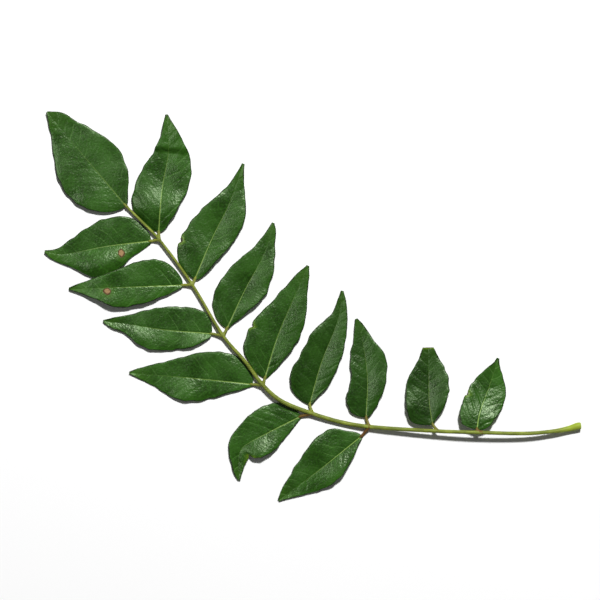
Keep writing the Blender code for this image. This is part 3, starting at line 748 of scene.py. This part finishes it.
    quilt = addNode(
        tree, "ShaderNodeTexNoise", {"Vector": flat, "W": given["Seed"], "Scale": 110.0, "Detail": 0.0},
        noise_dimensions="4D",
    )
    quilt = addNode(tree, "ShaderNodeMapRange", [quilt, 0.40, 0.62, 0.1, 1.0])
    veinSink = addNode(tree, "ShaderNodeMath", [veinBed, veinFade], operation="MULTIPLY")
    veinSink = addNode(tree, "ShaderNodeMath", [veinSink, quilt], operation="MULTIPLY")
    veinSink = addNode(tree, "ShaderNodeMath", [veinSink, given["Vein Depth"]], operation="MULTIPLY")
    height = addNode(tree, "ShaderNodeMath", [height, veinSink], operation="SUBTRACT")
    # The midrib's groove, shallower towards the tip.
    groove = addNode(
        tree, "ShaderNodeMapRange", [away, 0.0, given["Groove Half"], 1.0, 0.0], interpolation_type="SMOOTHSTEP"
    )
    grooveFade = addNode(tree, "ShaderNodeMapRange", [along, 0.0, 1.0, 1.0, 0.2])
    groove = addNode(tree, "ShaderNodeMath", [groove, grooveFade], operation="MULTIPLY")
    groove = addNode(tree, "ShaderNodeMath", [groove, given["Groove Depth"]], operation="MULTIPLY")
    height = addNode(tree, "ShaderNodeMath", [height, groove], operation="SUBTRACT")
    # Slow ripples, none at the midrib.
    rippleScale = addNode(tree, "ShaderNodeMath", [1.0, given["Ripple Size"]], operation="DIVIDE")
    ripple = addNode(
        tree, "ShaderNodeTexNoise",
        {"Vector": flat, "W": given["Seed"], "Scale": rippleScale, "Detail": 2.0, "Roughness": 0.45},
        noise_dimensions="4D",
    )
    ripple = addNode(tree, "ShaderNodeMapRange", [ripple, 0.3, 0.7, -1.0, 1.0])
    rippleAt = addNode(tree, "ShaderNodeMath", [ripple, share], operation="MULTIPLY")
    rippleAt = addNode(tree, "ShaderNodeMath", [rippleAt, given["Ripple Height"]], operation="MULTIPLY")
    height = addNode(tree, "ShaderNodeMath", [height, rippleAt], operation="ADD")

    raised = addNode(tree, "ShaderNodeCombineXYZ", [0.0, 0.0, height])
    placed = addNode(tree, "ShaderNodeVectorMath", [flat, raised], operation="ADD")
    placedX = addNode(tree, "ShaderNodeSeparateXYZ", [placed], give="X")
    placedY = addNode(tree, "ShaderNodeSeparateXYZ", [placed], give="Y")
    placedZ = addNode(tree, "ShaderNodeSeparateXYZ", [placed], give="Z")
    halfThick = addNode(tree, "ShaderNodeMath", [given["Thickness"], 0.5], operation="MULTIPLY")
    tableZ = addNode(tree, "ShaderNodeMath", [placedZ, halfThick, 0.3 * mm], operation="SMOOTH_MAX")
    placed = addNode(tree, "ShaderNodeCombineXYZ", [placedX, placedY, tableZ])

    # Measures for the material, in mm, kept before the grid moves.
    marginAway = addNode(tree, "ShaderNodeMath", [half, away], operation="SUBTRACT")
    toMm = (1 / mm,) * 3
    leafPlace = addNode(tree, "ShaderNodeCombineXYZ", [reach, distance, marginAway])
    leafPlace = addNode(tree, "ShaderNodeVectorMath", [leafPlace, toMm], operation="MULTIPLY")
    spotU = addNode(tree, "ShaderNodeMath", [distance, given["Spot Along"]], operation="SUBTRACT")
    spotU = addNode(tree, "ShaderNodeMath", [spotU, given["Spot Length"]], operation="DIVIDE")
    spotV = addNode(tree, "ShaderNodeMath", [reach, given["Spot Across"]], operation="SUBTRACT")
    spotV = addNode(tree, "ShaderNodeMath", [spotV, given["Spot Width"]], operation="DIVIDE")
    spotAway = addNode(tree, "ShaderNodeCombineXYZ", [spotU, spotV, 0.0])
    spotAway = addNode(tree, "ShaderNodeVectorMath", [spotAway], give="Value", operation="LENGTH")
    # Dry tissue along a bite, and across a torn-off tip.
    nearBite = addNode(tree, "ShaderNodeMapRange", [marginAway, 0.0, 1.8 * mm, 1.0, 0.0])
    biteDry = addNode(tree, "ShaderNodeMath", [nearBite, wounded], operation="MULTIPLY")
    biteDry = addNode(tree, "GeometryNodeSwitch", [isLeft, 0.0, biteDry], input_type="FLOAT")
    endAway = addNode(tree, "ShaderNodeMath", [length, distance], operation="SUBTRACT")
    nearEnd = addNode(tree, "ShaderNodeMapRange", [endAway, 0.0, 0.8 * mm, 1.0, 0.0])
    endDry = addNode(tree, "ShaderNodeMath", [nearEnd, given["Torn"]], operation="MULTIPLY")
    dry = addNode(tree, "ShaderNodeMath", [biteDry, endDry], operation="MAXIMUM")
    veinMm = addNode(tree, "ShaderNodeMath", [veinAway, 1 / mm], operation="MULTIPLY")
    leafMarks = addNode(tree, "ShaderNodeCombineXYZ", [veinMm, spotAway, dry])

    # Both faces share one rim: thickness runs out at the margin in a rounded edge.
    shareHigh = addNode(tree, "ShaderNodeMath", [share, 10.0], operation="POWER")
    acrossFull = addNode(tree, "ShaderNodeMath", [1.0, shareHigh], operation="SUBTRACT")
    ends = addNode(tree, "ShaderNodeMath", [plainAlong, 2.0, -1.0], operation="MULTIPLY_ADD")
    ends = addNode(tree, "ShaderNodeMath", [ends], operation="ABSOLUTE")
    ends = addNode(tree, "ShaderNodeMath", [ends, 60.0], operation="POWER")
    alongFull = addNode(tree, "ShaderNodeMath", [1.0, ends], operation="SUBTRACT")
    fullness = addNode(tree, "ShaderNodeMath", [acrossFull, alongFull], operation="MULTIPLY")
    fullness = addNode(tree, "ShaderNodeMath", [fullness, 0.0], operation="MAXIMUM")
    fullness = addNode(tree, "ShaderNodeMath", [fullness], operation="SQRT")
    thick = addNode(tree, "ShaderNodeMath", [halfThick, fullness], operation="MULTIPLY")
    rib = addNode(
        tree, "ShaderNodeMapRange", [away, 0.0, given["Rib Half"], 1.0, 0.0], interpolation_type="SMOOTHERSTEP"
    )
    ribFade = addNode(tree, "ShaderNodeMapRange", [along, 0.0, 0.85, 1.0, 0.0])
    rib = addNode(tree, "ShaderNodeMath", [rib, ribFade], operation="MULTIPLY")
    rib = addNode(tree, "ShaderNodeMath", [rib, given["Rib Depth"]], operation="MULTIPLY")
    rib = addNode(tree, "ShaderNodeMath", [rib, alongFull], operation="MULTIPLY")

    sheet = grid
    for name, value in (("leafPlace", leafPlace), ("leafMarks", leafMarks)):
        sheet = addNode(
            tree, "GeometryNodeStoreNamedAttribute", {"Geometry": sheet, "Name": name, "Value": value},
            data_type="FLOAT_VECTOR", domain="POINT",
        )
    leafShare = addNode(tree, "ShaderNodeCombineXYZ", [across, along, 0.0])
    sheet = addNode(
        tree, "GeometryNodeStoreNamedAttribute", {"Geometry": sheet, "Name": "leafShare", "Value": leafShare},
        data_type="FLOAT_VECTOR", domain="POINT",
    )
    # Painted light and shade: each half's own lightening or darkening factor.
    paintedLightShade = addNode(tree, "GeometryNodeSwitch", [isLeft, given["Painted Light Right"], given["Painted Light Left"]], input_type="FLOAT")
    leafPaintedLightAndRib = addNode(tree, "ShaderNodeCombineXYZ", [paintedLightShade, given["Rib Pale"], 0.0])
    sheet = addNode(
        tree, "GeometryNodeStoreNamedAttribute", {"Geometry": sheet, "Name": "leafPaintedLightAndRib", "Value": leafPaintedLightAndRib},
        data_type="FLOAT_VECTOR", domain="POINT",
    )
    walls = addNode(tree, "ShaderNodeCombineXYZ", [thick, rib, 0.0])
    sheet = addNode(
        tree, "GeometryNodeStoreNamedAttribute", {"Geometry": sheet, "Name": "bladeWalls", "Value": walls},
        data_type="FLOAT_VECTOR", domain="POINT",
    )
    sheet = addNode(tree, "GeometryNodeSetPosition", {"Geometry": sheet, "Position": placed})

    wallsBack = addNode(
        tree, "GeometryNodeInputNamedAttribute", {"Name": "bladeWalls"}, data_type="FLOAT_VECTOR"
    )
    thickBack = addNode(tree, "ShaderNodeSeparateXYZ", [wallsBack], give="X")
    ribBack = addNode(tree, "ShaderNodeSeparateXYZ", [wallsBack], give="Y")
    shareBack = addNode(
        tree, "GeometryNodeInputNamedAttribute", {"Name": "leafShare"}, data_type="FLOAT_VECTOR"
    )
    normal = addNode(tree, "GeometryNodeInputNormal")
    upOffset = addNode(tree, "ShaderNodeVectorMath", {"Vector": normal, "Scale": thickBack}, operation="SCALE")
    top = addNode(tree, "GeometryNodeSetPosition", {"Geometry": sheet, "Offset": upOffset})
    topShare = addNode(tree, "ShaderNodeVectorMath", [shareBack, (0.0, 0.0, 1.0)], operation="ADD")
    top = addNode(
        tree, "GeometryNodeStoreNamedAttribute", {"Geometry": top, "Name": "leafShare", "Value": topShare},
        data_type="FLOAT_VECTOR", domain="POINT",
    )
    depth = addNode(tree, "ShaderNodeMath", [thickBack, ribBack], operation="ADD")
    depth = addNode(tree, "ShaderNodeMath", [depth, -1.0], operation="MULTIPLY")
    downOffset = addNode(tree, "ShaderNodeVectorMath", {"Vector": normal, "Scale": depth}, operation="SCALE")
    bottom = addNode(tree, "GeometryNodeSetPosition", {"Geometry": sheet, "Offset": downOffset})
    bottom = addNode(tree, "GeometryNodeFlipFaces", [bottom])
    both = tree.nodes.new("GeometryNodeJoinGeometry")
    tree.links.new(bottom, both.inputs[0])
    tree.links.new(top, both.inputs[0])
    whole = addNode(
        tree, "GeometryNodeMergeByDistance", {"Geometry": both.outputs[0], "Distance": 0.0005 * mm}
    )
    # Nothing goes below the table.
    now = addNode(tree, "GeometryNodeInputPosition")
    onTable = addNode(tree, "ShaderNodeVectorMath", [now, (-1.0, -1.0, 0.0)], operation="MAXIMUM")
    whole = addNode(tree, "GeometryNodeSetPosition", {"Geometry": whole, "Position": onTable})
    whole = addNode(tree, "GeometryNodeSetShadeSmooth", {"Geometry": whole})
    whole = addNode(tree, "GeometryNodeRealizeInstances", [whole])
    whole = addNode(tree, "GeometryNodeSetMaterial", {"Geometry": whole, "Material": given["Material"]})
    addNode(tree, "NodeGroupOutput", [whole], give=None)
    return tree


def halfWidth(spec, phases, side, along):
    end = blade["endHalf"]
    widths = (end, *spec[side], spec.get("tornHalf", end))
    roots = [math.sqrt(t) for t in (0.0, *widthStations, 1.0)]
    width = smoothValue(roots, widths, math.sqrt(along))
    scallop = math.sin(2 * math.pi * (blade["scallops"] * along + phases[side]))
    width += blade["scallopDepth"] * scallop * min(1.0, width / 4)
    ragged = noise.noise(Vector((along * blade["teeth"], 9 * phases[side], 0.0)))
    width += blade["toothDepth"] * ragged * min(1.0, width / 4)
    bitten, place, reach, depth = spec.get("bite", (None, 0, 1, 0))
    if side == bitten:
        width -= depth * math.exp(-(((along - place) / reach) ** 2))
    return max(width, end)


def makeLeaflet(name, spec, tree, seed):
    path = smoothPath(spec["midrib"], 72)
    luck = random.Random(name)
    phases = {side: luck.random() for side in ("left", "right")}
    points, leftShape, rightShape, rowLift = [], [], [], []
    rowCount = 90
    for i in range(rowCount + 1):
        along = (i / rowCount) ** 1.4
        centre, _ = pointOn(path, along)
        rise = smoothValue(riseStations, spec["rise"], along)
        if "crease" in spec:
            place, reach, step = spec["crease"]
            rise += step * smoothStep(place - reach, place + reach, along)
        points.append(Vector((centre.x, centre.y, rise)) * mm)
        lifts = []
        for pick, (side, shapes) in enumerate((("left", leftShape), ("right", rightShape))):
            half = halfWidth(spec, phases, side, along)
            folds = spec["foldLeft"] if side == "left" else spec["foldRight"]
            fold = smoothValue(foldStations, folds, min(max(along, 0.1), 0.9))
            shapes.append((half * mm, fold, fold * spec["curl"][pick]))
            wave = math.sin(2 * math.pi * (blade["waves"] * along + phases[side]))
            tuck = spec["tuck"][pick] * (1 - smoothStep(0.05, 0.45, along))
            lifts.append((blade["waveHeight"] * wave - tuck) * mm)
        _, place, reach, _ = spec.get("bite", (None, -9.0, 1.0, 0.0))
        rowLift.append((*lifts, math.exp(-(((along - place) / (reach * 2.4)) ** 2))))
    leaflet = meshLine(
        name + "_blade", points, vectors={"leftShape": leftShape, "rightShape": rightShape, "rowLift": rowLift}
    )
    (spotAlong, spotAcross), (spotLength, spotWidth) = spec.get("spot", ((500.0, 0.0), (1.0, 1.0)))
    modifier = leaflet.modifiers.new("blade", "NODES")
    modifier.node_group = tree
    setInputs(
        modifier,
        {
            "Rows": blade["rows"],
            "Columns": blade["columns"],
            "Thickness": blade["thickness"] * mm,
            "Vein Spacing": blade["veinSpacing"] * mm,
            "Vein Lean": blade["veinLean"],
            "Vein Bow": blade["veinBow"],
            "Vein Depth": spec.get("veinDepth", blade["veinDepth"]) * mm,
            "Groove Depth": spec.get("grooveDepth", blade["grooveDepth"]) * mm,
            "Groove Half": blade["grooveHalf"] * mm,
            "Rib Depth": blade["ribDepth"] * mm,
            "Rib Half": blade["ribHalf"] * mm,
            "Ripple Height": blade["rippleHeight"] * mm,
            "Ripple Size": blade["rippleSize"] * mm,
            "Spot Along": spotAlong * mm,
            "Spot Across": spotAcross * mm,
            "Spot Length": spotLength * mm,
            "Spot Width": spotWidth * mm,
            "Torn": 1.0 if "tornHalf" in spec else 0.0,
            "Seed": float(seed),
            "Painted Light Left": spec["paintedLightShade"][0],
            "Painted Light Right": spec["paintedLightShade"][1],
            "Rib Pale": spec.get("ribPale", 1.0),
            "Material": laminaMaterial,
        },
    )
    leaflet = makePlain(leaflet)
    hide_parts(name)
    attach(leaflet, "root")
    return leaflet


bladeTree = makeBladeTree()
faces = 0
for seed, (name, spec) in enumerate(leaflets.items(), start=1):
    leaflet = makeLeaflet(name, spec, bladeTree, seed)
    faces += sum(len(p.vertices) - 2 for p in leaflet.data.polygons)
print("stage: leaflets made,", faces, "triangles")


# ---- the stalk ----

# x, y, height of the centre, radius, in mm, from the apex to the cut base.
rachis = (
    (-57.3, 30.5, 1.1, 0.34),
    (-52.9, 26.1, 1.25, 0.38),
    (-47.4, 20.5, 1.3, 0.38),
    (-37.2, 6.5, 1.2, 0.42),
    (-27.6, -9.4, 1.25, 0.47),
    (-20.8, -17.3, 1.4, 0.52),
    (-15.2, -24.7, 1.5, 0.58),
    (-9.6, -29.5, 1.5, 0.62),
    (0.2, -33.5, 1.15, 0.62),
    (9.0, -36.1, 0.95, 0.62),
    (17.7, -37.5, 1.35, 0.6),
    (39.0, -38.8, 2.8, 0.54),
    (52.5, -39.2, 3.35, 0.54),
    (66.0, -39.5, 2.8, 0.55),
    (74.5, -38.9, 2.05, 0.6),
    (79.5, -38.1, 1.2, 0.85),
    (82.3, -37.3, 1.18, 1.08),
    (83.3, -37.2, 1.18, 1.0),
)
stalkNodes = {1: 2, 2: 3, 3: 4, 4: 6, 5: 8, 6: 10, 7: 11, 8: 12}
petiolule = {
    "rootRadius": 0.58,  # mm
    "radius": 0.48,
    "endRadius": 0.26,
    "runOn": 0.03,  # share of the leaflet that it runs on under the blade
    "clear": 0.03,  # mm between its underside and the table
    "blush": {
        "leaflet_left_5": 0.8,
        "leaflet_left_6": 0.9,
        "leaflet_right_6": 0.55,
        "leaflet_right_7": 0.35,
        "leaflet_right_8": 0.75,
    },
}


def makeStalkTree():
    tree = bpy.data.node_groups.new("stalkSweep", "GeometryNodeTree")
    face = tree.interface
    face.new_socket("Geometry", in_out="INPUT", socket_type="NodeSocketGeometry")
    for name, kind in (("Sides", "NodeSocketInt"), ("Material", "NodeSocketMaterial")):
        face.new_socket(name, in_out="INPUT", socket_type=kind)
    face.new_socket("Geometry", in_out="OUTPUT", socket_type="NodeSocketGeometry")
    given = addNode(tree, "NodeGroupInput", give=None).outputs
    lines = addNode(tree, "GeometryNodeMeshToCurve", [given["Geometry"]])
    girth = addNode(tree, "GeometryNodeInputNamedAttribute", {"Name": "girth"}, data_type="FLOAT")
    ring = addNode(tree, "GeometryNodeCurvePrimitiveCircle", {"Resolution": given["Sides"], "Radius": 1.0})
    tubes = addNode(
        tree, "GeometryNodeCurveToMesh",
        {"Curve": lines, "Profile Curve": ring, "Scale": girth, "Fill Caps": True},
    )
    tubes = addNode(tree, "GeometryNodeRealizeInstances", [tubes])
    tubes = addNode(tree, "GeometryNodeSetMaterial", {"Geometry": tubes, "Material": given["Material"]})
    addNode(tree, "NodeGroupOutput", [tubes], give=None)
    return tree


# Brown along the lower flank, partly the stalk's own colour and partly painted shade on the side away from the
# light: strong just before the swollen base, weaker at mid length.
def blushAt(x):
    x /= mm
    nearBase = smoothStep(70, 76, x) * (1 - smoothStep(78.5, 80.5, x))
    middle = smoothStep(-14, -6, x) * (1 - smoothStep(16, 24, x))
    return max(0.9 * nearBase, 0.7 * middle)


def makeStalk():
    line, lengths = smoothPath(rachis, 240)
    points = [Vector(p[:3]) * mm for p in line]
    girths = [(p[3] + stalk["swell"]) * mm for p in line]
    chains = [list(range(len(points)))]
    blushes = [blushAt(p.x) for p in line]
    for name, spec in leaflets.items():
        root = Vector(rachis[0 if spec["node"] is None else stalkNodes[spec["node"]]][:3])
        path = smoothPath(spec["midrib"], 72)
        base, ahead = pointOn(path, 0.0)
        under, _ = pointOn(path, petiolule["runOn"])
        forward = Vector((ahead.x, ahead.y, 0.0))
        baseZ = spec["rise"][0]
        elbow = root.lerp(Vector((base.x, base.y, baseZ)), 0.55) - forward * 0.2
        way = [root, elbow, Vector((base.x, base.y, baseZ - 0.05)), Vector((under.x, under.y, baseZ - 0.12))]
        bend, _ = smoothPath(way, 24)
        chain = []
        for i, p in enumerate(bend):
            share = i / (len(bend) - 1)
            girth = smoothValue(
                (0.0, 0.45, 0.8, 1.0),
                (petiolule["rootRadius"], petiolule["radius"], petiolule["radius"], petiolule["endRadius"]),
                share,
            )
            p.z = max(p.z, girth + petiolule["clear"])  # it lies on the table, not through it
            chain.append(len(points))
            points.append(p * mm)
            girths.append(girth * mm)
            blushes.append(petiolule["blush"].get(name, 0.1))
        chains.append(chain)
    obj = meshLine("rachis_rind", points, floats={"girth": girths}, chains=chains)
    sweep = obj.modifiers.new("sweep", "NODES")
    sweep.node_group = makeStalkTree()
    setInputs(sweep, {"Sides": stalk["sides"], "Material": rindMaterial})
    fuse = obj.modifiers.new("fuse", "REMESH")
    fuse.mode = "VOXEL"
    fuse.voxel_size = stalk["voxel"] * mm
    fuse.use_smooth_shade = True
    soften = obj.modifiers.new("soften", "SMOOTH")
    soften.factor = 0.5
    soften.iterations = 8
    obj = makePlain(obj)

    # How far along, which way round and how blushed each point of the rind is, from its nearest path.
    mesh = obj.data
    co = np.empty(len(mesh.vertices) * 3)
    mesh.vertices.foreach_get("co", co)
    co = co.reshape(-1, 3)
    knots = np.array([tuple(p) for p in points])
    nearest = np.empty(len(co), dtype=int)
    for first in range(0, len(co), 4000):
        block = co[first : first + 4000]
        nearest[first : first + 4000] = np.argmin(
            ((block[:, None, :] - knots[None, :, :]) ** 2).sum(-1), axis=1
        )
    aside = co - knots[nearest]
    around = np.arctan2(aside[:, 2], aside[:, 1])
    along = np.concatenate([np.array(lengths), np.zeros(len(points) - len(lengths))])[nearest]
    onStalk = nearest < len(lengths)
    # The brown is weighted to the lower flank, the side away from the light: there it is partly painted shade.
    flank = np.clip(0.5 - aside[:, 1] / (0.9 * np.array(girths)[nearest]), 0, 1)
    flank = np.where(onStalk, flank * flank * (3 - 2 * flank), 1.0)
    brownAndPaintedShade = np.where(co[:, 0] > 60 * mm, np.maximum(flank, 0.5), flank)
    place = np.column_stack([along, around, np.array(blushes)[nearest] * brownAndPaintedShade]).astype(np.float32)
    mesh.attributes.new("stalkPlace", "FLOAT_VECTOR", "POINT").data.foreach_set("vector", place.ravel())
    x = co[:, 0] / mm
    swollen = np.clip((x - 76.5) / 3, 0, 1)
    # The broken end is dark brown on its lower flank only: partly its own colour, partly painted shade.
    cut = np.clip((x - 83.2) / 0.7, 0, 1) * flank
    skin = np.column_stack([swollen, cut, np.zeros(len(co))]).astype(np.float32)
    mesh.attributes.new("stalkSkin", "FLOAT_VECTOR", "POINT").data.foreach_set("vector", skin.ravel())
    mesh.materials.clear()
    mesh.materials.append(rindMaterial)
    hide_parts("rachis")
    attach(obj, "root")
    return obj


rind = makeStalk()
print("stage: stalk made,", sum(len(p.vertices) - 2 for p in rind.data.polygons), "triangles")


# ---- floor, light and camera ----

studio = {
    "floor": "f4f4f4",
    "floorSize": 1.2,
    "viewWidth": 0.186,
    "viewCentre": (-0.0038, 0.0018),
    "lens": 180.0,
    "keyPower": 34.0,
    "keySize": 0.16,
    "keyPlace": (0.24, 0.91, 1.29),
    "fillPower": 7.0,
    "fillPlace": (-0.70, 0.15, 0.95),
    "fillSize": 0.44,
    "sky": 0.10,
}

floorMesh = bpy.data.meshes.new("tableTop")
s = studio["floorSize"] / 2
floorMesh.from_pydata([(-s, -s, 0), (s, -s, 0), (s, s, 0), (-s, s, 0)], [], [(0, 1, 2, 3)])
floor = bpy.data.objects.new("tableTop", floorMesh)
bpy.context.scene.collection.objects.link(floor)
paper = bpy.data.materials.new("whiteStudioPaper")
paper.use_nodes = True
paper.node_tree.nodes["Principled BSDF"].inputs["Base Color"].default_value = linear(studio["floor"])
paper.node_tree.nodes["Principled BSDF"].inputs["Roughness"].default_value = 0.9
floorMesh.materials.append(paper)

centre = Vector((*studio["viewCentre"], 0.0))
for name, power, size, spot in (
    ("key", studio["keyPower"], studio["keySize"], Vector(studio["keyPlace"])),
    ("fill", studio["fillPower"], studio["fillSize"], Vector(studio["fillPlace"])),
):
    light = bpy.data.lights.new(name, "AREA")
    light.energy = power
    light.size = size
    lamp = bpy.data.objects.new(name, light)
    lamp.location = centre + spot
    lamp.rotation_euler = (-spot).to_track_quat("-Z", "Y").to_euler()
    # The fill stands for a bright wall: it lends gloss, and casts no light of its own on the table.
    lamp.visible_diffuse = name == "key"
    bpy.context.scene.collection.objects.link(lamp)

sky = bpy.data.worlds.new("studioSky")
sky.use_nodes = True
sky.node_tree.nodes["Background"].inputs["Color"].default_value = (1.0, 1.0, 1.0, 1.0)
sky.node_tree.nodes["Background"].inputs["Strength"].default_value = studio["sky"]
bpy.context.scene.world = sky
bpy.context.scene.view_settings.view_transform = "Standard"

cameraData = bpy.data.cameras.new("above")
cameraData.lens = studio["lens"]
cameraData.clip_start = 0.01
camera = bpy.data.objects.new("above", cameraData)
distance = studio["viewWidth"] * studio["lens"] / cameraData.sensor_width
camera.location = (*studio["viewCentre"], distance + 1 * mm)
bpy.context.scene.collection.objects.link(camera)
bpy.context.scene.camera = camera
print("stage: studio set")
